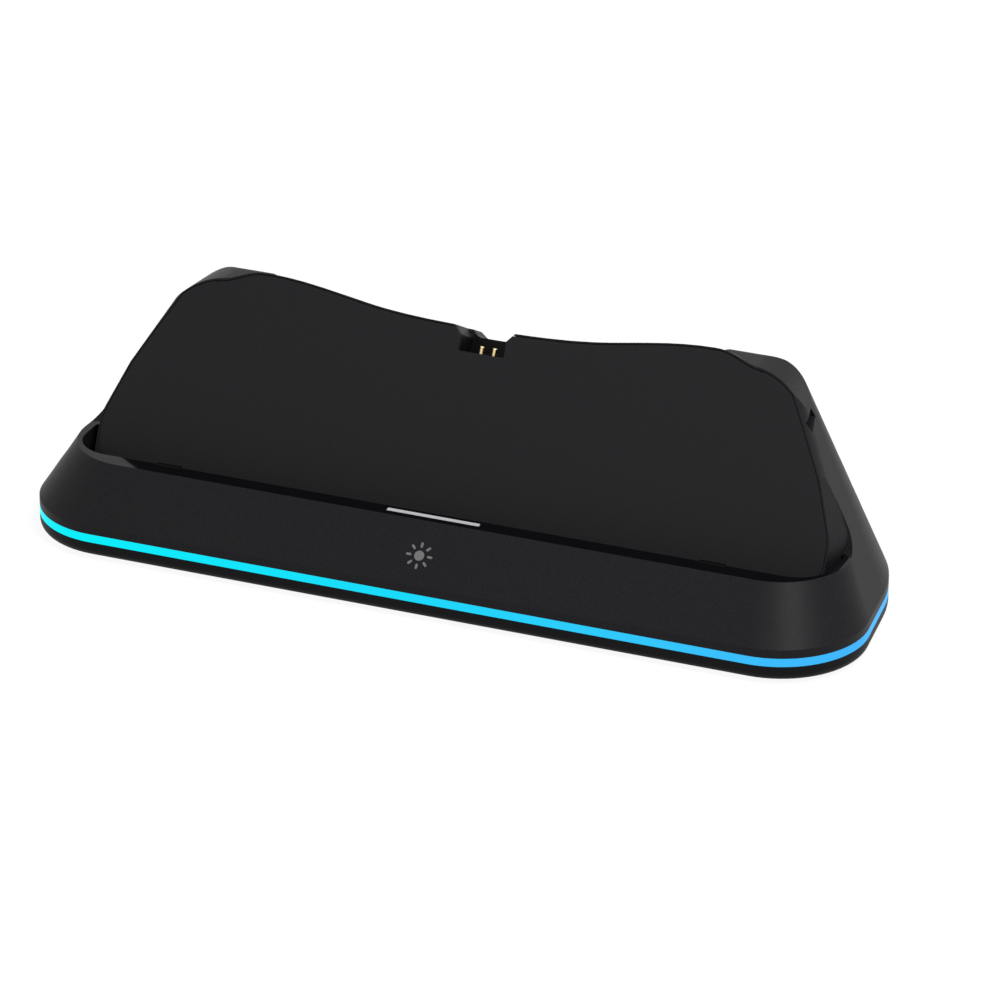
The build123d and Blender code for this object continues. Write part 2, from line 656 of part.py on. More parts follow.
# Cuts for what the housing carries
with BuildPart() as upper_housing_cut:
    add(upper_housing.part)
    add(panel_recess, mode=Mode.SUBTRACT)
    extrude(notch_outline(plate_plane(-1), NOTCH_FLOOR), amount=-1 - NOTCH_BACK, mode=Mode.SUBTRACT)
    with BuildSketch(plate_plane(NOTCH_BACK - 1)) as rear_notch:
        with BuildLine():
            rear_top = 2 * SADDLE_MIDDLE - REAR_NOTCH_FLOOR
            rear_spread = REAR_NOTCH_HALF + rear_top - REAR_NOTCH_FLOOR
            Polyline(
                (-REAR_NOTCH_HALF, REAR_NOTCH_FLOOR),
                (REAR_NOTCH_HALF, REAR_NOTCH_FLOOR),
                (rear_spread, rear_top),
                (-rear_spread, rear_top),
                close=True,
            )
        make_face()
        fillet(rear_notch.vertices().group_by(Axis.Y)[0], REAR_NOTCH_ROUND)
    extrude(amount=-DEPTH, mode=Mode.SUBTRACT)
    with BuildSketch(pin_plane(0, NOTCH_FLOOR - 2 * WALL, BLOCK_BACK)):
        Rectangle(BLOCK_LENGTH + 2 * FIT, BLOCK_WIDTH + 2 * FIT)
    extrude(amount=3 * WALL, mode=Mode.SUBTRACT)
    add(grooves.part, mode=Mode.SUBTRACT)
    with BuildSketch(Plane.XY.offset(LAND_Z)):
        with Locations((0, LIGHT_Y)):
            Rectangle(LIGHT_LENGTH + 2 * FIT, LIGHT_WIDTH + 2 * FIT)
    extrude(amount=LIGHT_THICK / UP_Z, dir=DOWNWARD, mode=Mode.SUBTRACT)
    add(leg_hole, mode=Mode.SUBTRACT)
    with BuildSketch(Plane.XZ.offset(-USB_MOUTH_Y)):
        with Locations((0, USB_Z)):
            RectangleRounded(PORT_LENGTH, PORT_HEIGHT, PORT_ROUND)
    extrude(amount=-DEPTH, mode=Mode.SUBTRACT)
    with BuildSketch(Plane.XZ.offset(-USB_MOUTH_Y)):
        with Locations((0, USB_Z)):
            SlotOverall(USB_LENGTH + 2 * FIT, USB_HEIGHT + 2 * FIT)
    extrude(amount=USB_DEPTH, mode=Mode.SUBTRACT)
    with BuildSketch(Plane.XY.offset(BOSS_Z)):
        with Locations(*CASE_SCREWS):
            Circle(SCREW_R + PIN_RUN)
    extrude(amount=SCREW_SEAT + SCREW_LENGTH + LOOSE - BOSS_Z, mode=Mode.SUBTRACT)
upper_housing_cut.part.label = "upper_housing"
export_step(upper_housing_cut.part, "parts/upper_housing.step")

# Front panel
with BuildPart() as front_panel:
    add(panel_solid)
    extrude(notch_outline(plate_plane(-1), NOTCH_SILL), amount=-2 - PANEL_THICK, mode=Mode.SUBTRACT)
front_panel.part.label = "front_panel"
export_step(front_panel.part, "parts/front_panel.step")

# White status light and its leg
with BuildPart() as status_light:
    with BuildSketch(Plane.XY.offset(LAND_Z + LIGHT_RISE)):
        with Locations((0, LIGHT_Y + LIGHT_RISE * tan(radians(PLATE_LEAN)))):
            Rectangle(LIGHT_LENGTH, LIGHT_WIDTH)
    extrude(amount=(LIGHT_THICK + LIGHT_RISE) / UP_Z, dir=DOWNWARD)
    add(leg_solid)
status_light.part.label = "status_light"
export_step(status_light.part, "parts/status_light.step")

# Sun print of the touch key
with BuildPart() as touch_icon:
    with BuildSketch(slope_plane()):
        Circle(ICON_DOT)
        with PolarLocations((RAY_INNER + RAY_OUTER) / 2, ICON_RAYS):
            SlotOverall(RAY_OUTER - RAY_INNER, RAY_WIDTH)
    extrude(amount=INK_THICK)
touch_icon.part.label = "touch_icon"
export_step(touch_icon.part, "parts/touch_icon.step")

# Copper pad behind the print
with BuildPart() as touch_pad:
    with BuildSketch(slope_plane().offset(-SHELL_INSET * cos(radians(FRONT_SLOPE)))):
        with Locations((0, -PAD_DROP)):
            RectangleRounded(PAD_LENGTH, PAD_HEIGHT, PAD_HEIGHT / 4)
    extrude(amount=-PAD_THICK)
touch_pad.part.label = "touch_pad"
export_step(touch_pad.part, "parts/touch_pad.step")

# Light ring
with BuildPart() as light_ring:
    extrude(body_section(COVER_TOP), amount=RING_HEIGHT)
    extrude(body_section(COVER_TOP, RING_WIDTH), amount=RING_HEIGHT, mode=Mode.SUBTRACT)
light_ring.part.label = "light_ring"
export_step(light_ring.part, "parts/light_ring.step")

# Bottom cover
with BuildPart() as bottom_cover:
    extrude(body_section(FOOT_STAND), amount=COVER_HEIGHT)
    fillet(bottom_cover.faces().sort_by(Axis.Z)[0].edges(), COVER_ROUND)
    extrude(body_section(FLOOR_Z, SHELL_INSET), amount=COVER_HEIGHT, mode=Mode.SUBTRACT)
    with BuildSketch(Plane.XY.offset(FLOOR_Z)):
        with Locations(*CASE_SCREWS):
            Circle(BOSS_R)
    extrude(amount=BOSS_Z - FLOOR_Z)
    with BuildSketch(Plane.XY.offset(FLOOR_Z)):
        with Locations(*BOARD_POSTS):
            Circle(POST_R)
    extrude(amount=BOARD_Z - FLOOR_Z)
    with BuildSketch(Plane.XY.offset(FLOOR_Z)):
        with Locations((0, LED_BOARD_FRONT)):
            with GridLocations(LED_RIB_PITCH, 0, LED_RIBS, 1):
                Rectangle(LED_RIB_WIDTH, LED_BOARD_WIDTH, align=(Align.CENTER, Align.MIN))
    extrude(amount=LED_BOARD_RISE)
    with BuildSketch(Plane.XY.offset(FOOT_STAND)):
        with Locations(*CASE_SCREWS):
            Circle(SCREW_HEAD_R + FIT)
    extrude(amount=SCREW_SEAT - FOOT_STAND, mode=Mode.SUBTRACT)
    with BuildSketch(Plane.XY.offset(FOOT_STAND)):
        with Locations(*CASE_SCREWS):
            Circle(SCREW_R + FIT)
    extrude(amount=BOSS_Z, mode=Mode.SUBTRACT)
    with BuildSketch(Plane.XY.offset(BOARD_Z)):
        with Locations(*BOARD_POSTS):
            Circle(BOARD_SCREW_R + PIN_RUN)
    extrude(amount=-BOARD_SCREW_LENGTH, mode=Mode.SUBTRACT)
    with BuildSketch(Plane.XY.offset(FOOT_STAND)):
        with Locations(*FEET.values()):
            Circle(FOOT_R + FIT)
    extrude(amount=FOOT_SEAT, mode=Mode.SUBTRACT)
bottom_cover.part.label = "bottom_cover"
export_step(bottom_cover.part, "parts/bottom_cover.step")

# Rubber feet
for foot_name, foot_place in FEET.items():
    with BuildPart() as foot:
        with BuildSketch():
            with Locations(foot_place):
                Circle(FOOT_R)
        extrude(amount=FOOT_STAND + FOOT_SEAT)
        fillet(foot.edges().group_by(Axis.Z)[0], FOOT_STAND / 2)
    foot.part.label = foot_name
    export_step(foot.part, f"parts/{foot_name}.step")

# Case screws, driven up from below
with BuildPart() as case_screws:
    with BuildSketch(Plane.XY.offset(SCREW_SEAT - SCREW_HEAD)):
        with Locations(*CASE_SCREWS):
            Circle(SCREW_HEAD_R)
    extrude(amount=SCREW_HEAD)
    with BuildSketch(Plane.XY.offset(SCREW_SEAT)):
        with Locations(*CASE_SCREWS):
            Circle(SCREW_R)
    extrude(amount=SCREW_LENGTH)
    with BuildSketch(Plane.XY.offset(SCREW_SEAT - SCREW_HEAD)):
        with Locations(*CASE_SCREWS):
            Rectangle(SCREW_HEAD_R, SCREW_R / 2)
            Rectangle(SCREW_R / 2, SCREW_HEAD_R)
    extrude(amount=SCREW_HEAD / 2, mode=Mode.SUBTRACT)
case_screws.part.label = "case_screws"
export_step(case_screws.part, "parts/case_screws.step")

# Main board
with BuildPart() as main_board:
    with BuildSketch(Plane.XY.offset(BOARD_Z)):
        with Locations((0, BOARD_FRONT)):
            Rectangle(BOARD_LENGTH, BOARD_BACK - BOARD_FRONT, align=(Align.CENTER, Align.MIN))
        with Locations(*BOARD_POSTS):
            Circle(BOARD_SCREW_R + FIT, mode=Mode.SUBTRACT)
    extrude(amount=BOARD_THICK)
main_board.part.label = "main_board"
export_step(main_board.part, "parts/main_board.step")

# Screws of the main board
with BuildPart() as board_screws:
    with BuildSketch(Plane.XY.offset(BOARD_TOP)):
        with Locations(*BOARD_POSTS):
            Circle(BOARD_SCREW_HEAD_R)
    extrude(amount=BOARD_SCREW_HEAD)
    with BuildSketch(Plane.XY.offset(BOARD_TOP)):
        with Locations(*BOARD_POSTS):
            Circle(BOARD_SCREW_R)
    extrude(amount=-BOARD_SCREW_LENGTH)
    with BuildSketch(Plane.XY.offset(BOARD_TOP + BOARD_SCREW_HEAD)):
        with Locations(*BOARD_POSTS):
            Rectangle(BOARD_SCREW_HEAD_R, BOARD_SCREW_R / 2)
            Rectangle(BOARD_SCREW_R / 2, BOARD_SCREW_HEAD_R)
    extrude(amount=-BOARD_SCREW_HEAD / 2, mode=Mode.SUBTRACT)
board_screws.part.label = "board_screws"
export_step(board_screws.part, "parts/board_screws.step")

# Chips and coil on the main board
with BuildPart() as board_chips:
    for chip_x, chip_y, chip_length, chip_width, chip_height in BOARD_CHIPS:
        with BuildSketch(Plane.XY.offset(BOARD_TOP)):
            with Locations((chip_x, BOARD_FRONT + chip_y)):
                Rectangle(chip_length, chip_width)
        extrude(amount=chip_height)
board_chips.part.label = "board_chips"
export_step(board_chips.part, "parts/board_chips.step")

# Socket shell and its tongue
with BuildPart() as usb_shell:
    with BuildSketch(Plane.XZ.offset(-USB_MOUTH_Y)):
        with Locations((0, USB_Z)):
            SlotOverall(USB_LENGTH, USB_HEIGHT)
    extrude(amount=USB_DEPTH)
    with BuildSketch(Plane.XZ.offset(-USB_MOUTH_Y)):
        with Locations((0, USB_Z)):
            SlotOverall(USB_LENGTH - 2 * USB_WALL, USB_HEIGHT - 2 * USB_WALL)
    extrude(amount=USB_DEPTH - USB_WALL, mode=Mode.SUBTRACT)
usb_shell.part.label = "usb_shell"
export_step(usb_shell.part, "parts/usb_shell.step")

with BuildPart() as usb_tongue:
    with BuildSketch(Plane.XZ.offset(USB_DEPTH - USB_WALL - USB_MOUTH_Y)):
        with Locations((0, USB_Z)):
            Rectangle(TONGUE_LENGTH, TONGUE_THICK)
    extrude(amount=-TONGUE_REACH)
    fillet(usb_tongue.edges().filter_by(Axis.Z).group_by(Axis.Y)[-1], TONGUE_THICK)
usb_tongue.part.label = "usb_tongue"
export_step(usb_tongue.part, "parts/usb_tongue.step")

# LED board behind the front of the light ring
with BuildPart() as led_board:
    with BuildSketch(Plane.XY.offset(LED_BOARD_Z)):
        with Locations((0, LED_BOARD_FRONT)):
            Rectangle(LED_BOARD_LENGTH, LED_BOARD_WIDTH, align=(Align.CENTER, Align.MIN))
    extrude(amount=LED_BOARD_THICK)
led_board.part.label = "led_board"
export_step(led_board.part, "parts/led_board.step")

with BuildPart() as ring_leds:
    with BuildSketch(Plane.XY.offset(LED_BOARD_TOP)):
        with Locations((0, LED_BOARD_FRONT + LED_EDGE)):
            with GridLocations(LED_PITCH, 0, LED_COUNT, 1):
                Rectangle(LED_LENGTH, LED_WIDTH, align=(Align.CENTER, Align.MIN))
    extrude(amount=LED_HEIGHT)
ring_leds.part.label = "ring_leds"
export_step(ring_leds.part, "parts/ring_leds.step")

with BuildPart() as status_led:
    status_drop = LAND_Z - LED_BOARD_TOP - STATUS_LED_HEIGHT
    with BuildSketch(Plane.XY.offset(LED_BOARD_TOP)):
        with Locations((0, LIGHT_Y - status_drop * tan(radians(PLATE_LEAN)))):
            Rectangle(STATUS_LED, STATUS_LED)
    extrude(amount=STATUS_LED_HEIGHT)
status_led.part.label = "status_led"
export_step(status_led.part, "parts/status_led.step")

# Lead from the LED board to the main board
with BuildPart() as led_lead:
    with BuildLine() as led_path:
        led_start_y = LED_BOARD_FRONT + LED_BOARD_WIDTH - LED_LEAD_BEND
        led_end_y = BOARD_FRONT + POST_EDGE
        FilletPolyline(
            (LED_LEAD_X, led_start_y, LED_BOARD_TOP),
            (LED_LEAD_X, led_start_y, LED_BOARD_TOP + LED_LEAD_RISE),
            (LED_LEAD_X, led_end_y, LED_BOARD_TOP + LED_LEAD_RISE),
            (LED_LEAD_X, led_end_y, BOARD_Z),
            radius=LED_LEAD_BEND,
        )
    with BuildSketch(Plane(origin=led_path.line @ 0, z_dir=led_path.line % 0)):
        Circle(LEAD_R)
    sweep(path=led_path.line)
led_lead.part.label = "led_lead"
export_step(led_lead.part, "parts/led_lead.step")

# Contact block in the notch
with BuildPart() as contact_block:
    with BuildSketch(pin_plane(0, BLOCK_FOOT, BLOCK_BACK)):
        Rectangle(BLOCK_LENGTH, BLOCK_WIDTH)
    extrude(amount=BLOCK_HEIGHT)
    with BuildSketch(pin_plane(0, NOTCH_FLOOR - WALL - FLANGE_HEIGHT, BLOCK_BACK - BLOCK_WIDTH / 2)):
        Rectangle(
            BLOCK_LENGTH + 2 * BLOCK_FLANGE, BLOCK_WIDTH + BLOCK_FLANGE, align=(Align.CENTER, Align.MIN)
        )
    extrude(amount=FLANGE_HEIGHT)
    with BuildSketch(pin_plane(0, BLOCK_FOOT)):
        with GridLocations(PIN_SPACING, 0, 2, 1):
            Circle(BARREL_R + BARREL_GAP)
    extrude(amount=BLOCK_HEIGHT, mode=Mode.SUBTRACT)
contact_block.part.label = "contact_block"
export_step(contact_block.part, "parts/contact_block.step")

# Small board under the contact block
with BuildPart() as contact_board:
    with BuildSketch(pin_plane(0, BLOCK_FOOT - CONTACT_BOARD_THICK, UPRIGHT_FRONT + FIT)):
        Rectangle(CONTACT_BOARD_LENGTH, CONTACT_BOARD_WIDTH, align=(Align.CENTER, Align.MIN))
    extrude(amount=CONTACT_BOARD_THICK)
contact_board.part.label = "contact_board"
export_step(contact_board.part, "parts/contact_board.step")

# Spring contacts: barrel, sliding pin and spring on each side, and the lead that serves it
for side, side_name, lead_name in ((-1, "left", "lead_positive"), (1, "right", "lead_negative")):
    pin_x = side * PIN_SPACING / 2
    bore_top = BARREL_TOP - BARREL_LIP
    bore_foot = BLOCK_FOOT + BARREL_FLOOR
    collar_top = bore_top - PIN_RUN
    collar_foot = collar_top - PIN_COLLAR

    with BuildPart() as barrel:
        with BuildSketch(pin_plane(pin_x, BLOCK_FOOT)):
            Circle(BARREL_R)
        extrude(amount=BARREL_TOP - BLOCK_FOOT)
        with BuildSketch(pin_plane(pin_x, bore_foot)):
            Circle(PIN_COLLAR_R + PIN_RUN)
        extrude(amount=bore_top - bore_foot, mode=Mode.SUBTRACT)
        with BuildSketch(pin_plane(pin_x, bore_top)):
            Circle(PIN_R + PIN_RUN)
        extrude(amount=BARREL_LIP, mode=Mode.SUBTRACT)
    barrel.part.label = f"pin_barrel_{side_name}"
    export_step(barrel.part, f"parts/pin_barrel_{side_name}.step")

    with BuildPart() as contact_pin:
        with BuildSketch(pin_plane(pin_x, collar_foot)):
            Circle(PIN_COLLAR_R)
        extrude(amount=PIN_COLLAR)
        with BuildSketch(pin_plane(pin_x, collar_top)):
            Circle(PIN_R)
        extrude(amount=PIN_TIP - collar_top)
        fillet(contact_pin.edges().sort_by(Axis(plate_point(pin_x, 0, PIN_BACK), UP))[-1], PIN_ROUND)
    contact_pin.part.label = f"contact_pin_{side_name}"
    export_step(contact_pin.part, f"parts/contact_pin_{side_name}.step")

    with BuildPart() as pin_spring:
        spring_height = collar_foot - bore_foot - 2 * SPRING_WIRE_R
        with BuildLine() as coil:
            Helix(
                pitch=spring_height / SPRING_TURNS,
                height=spring_height,
                radius=PIN_COLLAR_R - 2 * SPRING_WIRE_R,
                center=plate_point(pin_x, bore_foot + SPRING_WIRE_R, PIN_BACK),
                direction=UP,
            )
        with BuildSketch(Plane(origin=coil.line @ 0, z_dir=coil.line % 0)):
            Circle(SPRING_WIRE_R)
        sweep(path=coil.line, is_frenet=True)
    pin_spring.part.label = f"pin_spring_{side_name}"
    export_step(pin_spring.part, f"parts/pin_spring_{side_name}.step")

    with BuildPart() as lead:
        with BuildLine() as lead_path:
            lead_x = side * LEAD_SPACING / 2
            lead_foot = BLOCK_FOOT - CONTACT_BOARD_THICK
            FilletPolyline(
                plate_point(lead_x, lead_foot, LEAD_BACK),
                plate_point(lead_x, lead_foot - LEAD_STRAIGHT, LEAD_BACK),
                (lead_x, LEAD_LAND_Y, BOARD_TOP + LEAD_RISE),
                (lead_x, LEAD_LAND_Y, BOARD_TOP),
                radius=LEAD_BEND,
            )
        with BuildSketch(Plane(origin=lead_path.line @ 0, z_dir=lead_path.line % 0)):
            Circle(LEAD_R)
        sweep(path=lead_path.line)
    lead.part.label = lead_name
    export_step(lead.part, f"parts/{lead_name}.step")
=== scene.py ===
import math

import bpy
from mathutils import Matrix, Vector


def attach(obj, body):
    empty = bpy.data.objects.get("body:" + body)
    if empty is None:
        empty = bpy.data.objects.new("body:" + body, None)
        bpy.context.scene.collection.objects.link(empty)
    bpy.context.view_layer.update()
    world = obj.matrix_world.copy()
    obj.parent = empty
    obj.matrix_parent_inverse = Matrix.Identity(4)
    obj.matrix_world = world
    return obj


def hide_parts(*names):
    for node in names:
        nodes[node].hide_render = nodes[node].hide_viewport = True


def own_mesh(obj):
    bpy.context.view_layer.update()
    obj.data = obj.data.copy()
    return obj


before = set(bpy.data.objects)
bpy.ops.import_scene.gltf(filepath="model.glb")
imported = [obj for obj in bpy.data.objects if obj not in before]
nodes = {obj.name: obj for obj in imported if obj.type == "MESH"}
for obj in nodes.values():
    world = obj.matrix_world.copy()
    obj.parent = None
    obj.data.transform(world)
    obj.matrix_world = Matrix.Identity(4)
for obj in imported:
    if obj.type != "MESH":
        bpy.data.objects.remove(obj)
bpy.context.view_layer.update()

# Camera: the photograph's viewing angle, from a long lens
CAMERA_PLACE = (0.531, -1.251, 0.652)
CAMERA_TURN = (64.89, 0.0, 22.73)
LENS_MM = 215.2
SENSOR_MM = 36.0
NEAREST_SEEN = 0.05
FARTHEST_SEEN = 20.0

# Lamps: name, place, the point that each faces, its width and height in metres, and its power in watts
LAMPS = (
    ("corner_lamp", (0.50, -0.42, 1.00), (0.08, -0.03, 0.02), (0.35, 0.35), 7.6),
    ("right_lamp", (0.54, 1.05, 0.34), (0.09, 0.0, 0.03), (0.42, 0.4), 0.8),
    ("back_lamp", (-0.50, 1.0, 0.55), (0, 0, 0.05), (0.7, 0.5), 0.5),
)

# Floor and world: the floor's own finish, the white that shows of both, and the world's light
WHITE = (1.0, 1.0, 1.0, 1.0)
FLOOR_HALF = 3
FLOOR_COLOR = (0.86, 0.86, 0.86, 1.0)
FLOOR_ROUGH = 0.9
FLOOR_SPECULAR = 0.1
FLOOR_WHITE = 1.10
FLOOR_WHITE_SHARE = 0.84
WORLD_WHITE = 1.0
WORLD_LIGHT = 0.30

# Surfaces: the part of a noise's range that is used, and how finely a rounded edge is worked out
NOISE_LOW = 0.3
NOISE_HIGH = 0.7
EDGE_SAMPLES = 6
PLASTIC_SPECULAR = 0.15

# The polished land before the trough: its height, its reach up and down, and how level a face of it is
LAND_LEVEL = 0.022
LAND_REACH = 0.0002
LAND_FACING = 0.97
LAND_CROWN = 3.8
LAND_ROUGH = 0.07
# Painted shade: the land is coloured blacker than the housing's own plastic, so that it looks as dark as the
# shaded band before the panel.
LAND_PAINTED_SHADE = (0.004, 0.004, 0.005, 1.0)

# The tabs on the land: how far above it they start, and the edge of the trough behind them
TAB_START = 0.00004
TROUGH_EDGE = -0.0243
# Painted shade: the tabs are coloured black so that they look as dark as the shaded band around them, where
# their sloping faces would catch light.
TAB_PAINTED_SHADE = (0.003, 0.003, 0.003, 1.0)

# The leaning panel: its directions, and where its plane meets the table
LEAN = math.radians(28.5)
UP = (0.0, math.sin(LEAN), math.cos(LEAN))
BACK = (0.0, math.cos(LEAN), -math.sin(LEAN))
ACROSS = (1.0, 0.0, 0.0)
PLATE_FOOT = -0.0259

# The notch of the contacts: half its width, and its middle and reach up the panel and behind it
NOTCH_HALF = 0.0066
NOTCH_UP = 0.0632
NOTCH_UP_REACH = 0.0032
NOTCH_BEHIND = 0.0058
NOTCH_BEHIND_REACH = 0.0050
# Painted shade: the near-black colour put on the housing inside the notch, where shade falls.
NOTCH_PAINTED_SHADE = (0.004, 0.004, 0.004, 1.0)

# The light ring: its colours, the half-length that they run over, and its milky body
RING_LEFT = (0.0, 0.88, 0.95, 1.0)
RING_MIDDLE = (0.009, 0.68, 0.94, 1.0)
RING_RIGHT = (0.05, 0.45, 0.96, 1.0)
RING_HALF = 0.11
RING_STRENGTH = 1.0
RING_BODY = (0.0, 0.02, 0.025, 1.0)
RING_SPECULAR = 0.03
RING_CELLS = 900.0
RING_ROUGH = (0.35, 0.5)
RING_BUMP = 0.1
RING_DEPTH = 0.00005

# The status light: its grain, its gloss and how much darker its body and its glow are in the dips
GLOW_CELLS = 1200.0
GLOW_ROUGH = (0.3, 0.45)
BODY_DIP = 0.92
GLOW_DIP = 0.95

# A Mix node's sockets for each kind of value: the first of its two inputs, and its result
MIX_SOCKETS = {"FLOAT": (2, 0), "VECTOR": (4, 1), "RGBA": (6, 2)}


def add_camera():
    data = bpy.data.cameras.new("photo_camera")
    data.lens = LENS_MM
    data.sensor_width = SENSOR_MM
    data.sensor_fit = "HORIZONTAL"
    data.clip_start = NEAREST_SEEN
    data.clip_end = FARTHEST_SEEN
    camera = bpy.data.objects.new("photo_camera", data)
    camera.location = CAMERA_PLACE
    camera.rotation_euler = [math.radians(a) for a in CAMERA_TURN]
    bpy.context.collection.objects.link(camera)
    bpy.context.scene.camera = camera


def add_lamp(name, place, target, size, power):
    """A soft rectangular studio lamp that points at a target."""
    data = bpy.data.lights.new(name, "AREA")
    data.shape = "RECTANGLE"
    data.size, data.size_y = size
    data.energy = power
    lamp = bpy.data.objects.new(name, data)
    lamp.location = place
    lamp.rotation_euler = (Vector(target) - Vector(place)).to_track_quat("-Z", "Y").to_euler()
    bpy.context.collection.objects.link(lamp)


def new_material(name):
    material = bpy.data.materials.new(name)
    material.use_nodes = True
    tree = material.node_tree
    shader = tree.nodes["Principled BSDF"]
    place = tree.nodes.new("ShaderNodeTexCoord")
    return material, tree, shader, place


def grain(tree, place, cells):
    """A noise over the piece, with so many cells per metre."""
    noise = tree.nodes.new("ShaderNodeTexNoise")
    noise.inputs["Scale"].default_value = cells
    tree.links.new(place.outputs["Object"], noise.inputs["Vector"])
    return noise.outputs["Fac"]


def spread(tree, source, low, high, start=NOISE_LOW, end=NOISE_HIGH):
    """Maps a number that runs from start to end, such as a noise, to a range of numbers."""
    ranger = tree.nodes.new("ShaderNodeMapRange")
    ranger.inputs["From Min"].default_value = start
    ranger.inputs["From Max"].default_value = end
    ranger.inputs["To Min"].default_value = low
    ranger.inputs["To Max"].default_value = high
    tree.links.new(source, ranger.inputs["Value"])
    return ranger.outputs["Result"]


def tint(tree, source, dark, light):
    """Maps a noise to a range between two colours."""
    ramp = tree.nodes.new("ShaderNodeValToRGB")
    ramp.color_ramp.elements[0].position = NOISE_LOW
    ramp.color_ramp.elements[0].color = (*dark, 1.0)
    ramp.color_ramp.elements[1].position = NOISE_HIGH
    ramp.color_ramp.elements[1].color = (*light, 1.0)
    tree.links.new(source, ramp.inputs["Fac"])
    return ramp.outputs["Color"]


def add_bump(tree, shader, source, strength, distance, edge=0.0):
    """Fine relief on a surface, and edges that catch the light as if rounded off."""
    bump = tree.nodes.new("ShaderNodeBump")
    bump.inputs["Strength"].default_value = strength
    bump.inputs["Distance"].default_value = distance
    tree.links.new(source, bump.inputs["Height"])
    if edge:
        soft = tree.nodes.new("ShaderNodeBevel")
        soft.samples = EDGE_SAMPLES
        soft.inputs["Radius"].default_value = edge
        tree.links.new(soft.outputs["Normal"], bump.inputs["Normal"])
    tree.links.new(bump.outputs["Normal"], shader.inputs["Normal"])


def moulded(
    name, dark, light, rough,
    cells=2600.0, bump=0.25, depth=0.00006, specular=PLASTIC_SPECULAR, metallic=0.0, edge=0.0,
):
    """Moulded or plated surface: fine grain in its colour, its gloss and its relief."""
    material, tree, shader, place = new_material(name)
    fine = grain(tree, place, cells)
    tree.links.new(tint(tree, fine, dark, light), shader.inputs["Base Color"])
    tree.links.new(spread(tree, fine, *rough), shader.inputs["Roughness"])
    shader.inputs["Metallic"].default_value = metallic
    shader.inputs["Specular IOR Level"].default_value = specular
    add_bump(tree, shader, fine, bump, depth, edge)
    return material


def test(tree, kind, source, limit, reach=0.0):
    """One where a number passes a test and nought elsewhere."""
    node = tree.nodes.new("ShaderNodeMath")
    node.operation = kind
    node.inputs[1].default_value = limit
    node.inputs[2].default_value = reach
    tree.links.new(source, node.inputs[0])
    return node.outputs[0]


def pair(tree, kind, first, second):
    """The result of a sum on two numbers, such as their product."""
    node = tree.nodes.new("ShaderNodeMath")
    node.operation = kind
    tree.links.new(first, node.inputs[0])
    tree.links.new(second, node.inputs[1])
    return node.outputs[0]


def both(tree, first, second):
    """One where two masks are both one."""
    return pair(tree, "MULTIPLY", first, second)


def swap(tree, shader, socket, kind, mask, value):
    """Puts another value on a shader's linked socket where a mask is one."""
    first, result = MIX_SOCKETS[kind]
    mix = tree.nodes.new("ShaderNodeMix")
    mix.data_type = kind
    tree.links.new(mask, mix.inputs[0])
    target = shader.inputs[socket]
    tree.links.new(target.links[0].from_socket, mix.inputs[first])
    mix.inputs[first + 1].default_value = value
    tree.links.new(mix.outputs[result], target)


def parts_of(tree, vector):
    """The X, Y and Z of a place or a direction."""
    split = tree.nodes.new("ShaderNodeSeparateXYZ")
    tree.links.new(vector, split.inputs["Vector"])
    return split.outputs


def along(tree, place, direction):
    """How far a point of the piece lies along a direction."""
    dot = tree.nodes.new("ShaderNodeVectorMath")
    dot.operation = "DOT_PRODUCT"
    dot.inputs[1].default_value = direction
    tree.links.new(place.outputs["Object"], dot.inputs[0])
    return dot.outputs["Value"]


def polish_and_shade_land(material):
    """Smooth, slightly crowned land on the housing, which mirrors the panel behind it; the land is coloured
    blacker than the housing as painted shade, and the tabs on it are coloured black as painted shade.
    """
    tree = material.node_tree
    shader = tree.nodes["Principled BSDF"]
    point = parts_of(tree, tree.nodes.new("ShaderNodeTexCoord").outputs["Object"])
    facing = parts_of(tree, tree.nodes.new("ShaderNodeNewGeometry").outputs["True Normal"])
    level = test(tree, "COMPARE", point["Z"], LAND_LEVEL, LAND_REACH)
    land = both(tree, level, test(tree, "GREATER_THAN", facing["Z"], LAND_FACING))
    tilt = math.radians(LAND_CROWN)
    swap(tree, shader, "Roughness", "FLOAT", land, LAND_ROUGH)
    # Painted shade: the land's colour is swapped for a black that is darker than the housing's plastic.
    swap(tree, shader, "Base Color", "RGBA", land, LAND_PAINTED_SHADE)
    swap(tree, shader, "Normal", "VECTOR", land, (0.0, -math.sin(tilt), math.cos(tilt)))
    above = test(tree, "GREATER_THAN", point["Z"], LAND_LEVEL + TAB_START)
    tabs = both(tree, above, test(tree, "LESS_THAN", point["Y"], TROUGH_EDGE))
    swap(tree, shader, "Roughness", "FLOAT", tabs, LAND_ROUGH)
    # Painted shade: the tabs' colour is swapped for black.
    swap(tree, shader, "Base Color", "RGBA", tabs, TAB_PAINTED_SHADE)
    return material


def paint_notch_shade(material):
    """Painted shade: the housing's walls inside the notch of the contacts are coloured near black, standing
    in for the shade in that recess.
    """
    tree = material.node_tree
    shader = tree.nodes["Principled BSDF"]
    place = tree.nodes.new("ShaderNodeTexCoord")
    level = NOTCH_UP + PLATE_FOOT * UP[1]
    behind = NOTCH_BEHIND + PLATE_FOOT * BACK[1]
    width = test(tree, "COMPARE", along(tree, place, ACROSS), 0.0, NOTCH_HALF)
    rise = test(tree, "COMPARE", along(tree, place, UP), level, NOTCH_UP_REACH)
    depth = test(tree, "COMPARE", along(tree, place, BACK), behind, NOTCH_BEHIND_REACH)
    notch = both(tree, width, both(tree, rise, depth))
    # Painted shade: the notch's walls get a near-black colour in place of the housing's own.
    swap(tree, shader, "Base Color", "RGBA", notch, NOTCH_PAINTED_SHADE)
    return material


